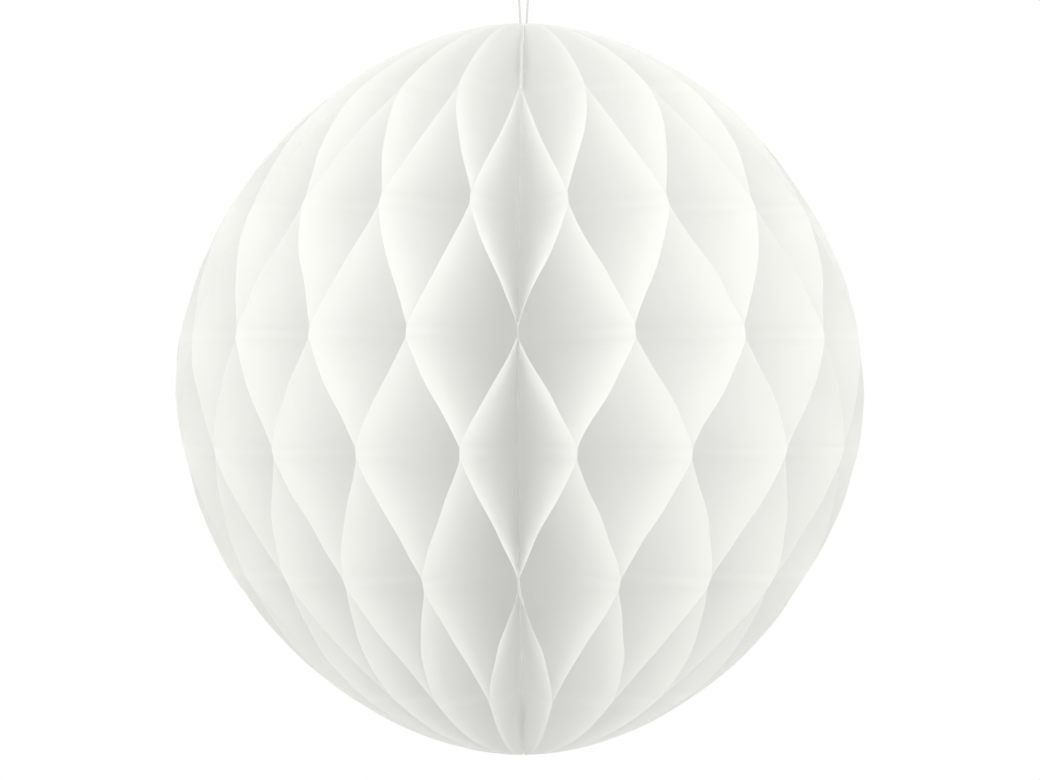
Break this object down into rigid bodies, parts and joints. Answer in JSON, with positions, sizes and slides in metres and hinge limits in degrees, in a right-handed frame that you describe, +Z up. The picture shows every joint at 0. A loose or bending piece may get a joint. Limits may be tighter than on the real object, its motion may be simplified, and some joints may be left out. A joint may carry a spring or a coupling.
{
  "type": "honeycomb paper ball",
  "caption": "Honeycomb tissue paper ball: leaves glued in staggered rows and fanned open round a bound spine form diamond cells, with a string loop to hang it by.",
  "frame": {"origin": "the underside of the top of the string's loop, where a hook takes it, on the axis of the ball", "axes": "+Z up along the spine from the ball to the hook, -Y towards the viewer of the picture, and the seam of the two covers towards +Y"},
  "size_m": [0.2816, 0.2817, 0.3508],
  "materials": {
    "tissue": "matt white tissue, slightly translucent",
    "card": "uncoated white card",
    "adhesive": "double-sided tape",
    "cotton": "twisted white cotton"
  },
  "bodies": {
    "root": {"leaf_01": "tissue", "leaf_02": "tissue", "leaf_03": "tissue", "leaf_04": "tissue", "leaf_05": "tissue", "leaf_06": "tissue", "leaf_07": "tissue", "leaf_08": "tissue", "leaf_09": "tissue", "leaf_10": "tissue", "leaf_11": "tissue", "leaf_12": "tissue", "leaf_13": "tissue", "leaf_14": "tissue", "leaf_15": "tissue", "leaf_16": "tissue", "leaf_17": "tissue", "leaf_18": "tissue", "leaf_19": "tissue", "leaf_20": "tissue", "leaf_21": "tissue", "leaf_22": "tissue", "leaf_23": "tissue", "leaf_24": "tissue", "leaf_25": "tissue", "leaf_26": "tissue", "leaf_27": "tissue", "leaf_28": "tissue", "leaf_29": "tissue", "leaf_30": "tissue", "leaf_31": "tissue", "leaf_32": "tissue", "leaf_33": "tissue", "leaf_34": "tissue", "leaf_35": "tissue", "leaf_36": "tissue", "leaf_37": "tissue", "leaf_38": "tissue", "leaf_39": "tissue", "leaf_40": "tissue", "cover_left": "card", "cover_right": "card", "seam_tape_upper": "adhesive", "seam_tape_lower": "adhesive", "spine_binding": "cotton", "hanging_string": "cotton"}
  },
  "joints": []
}
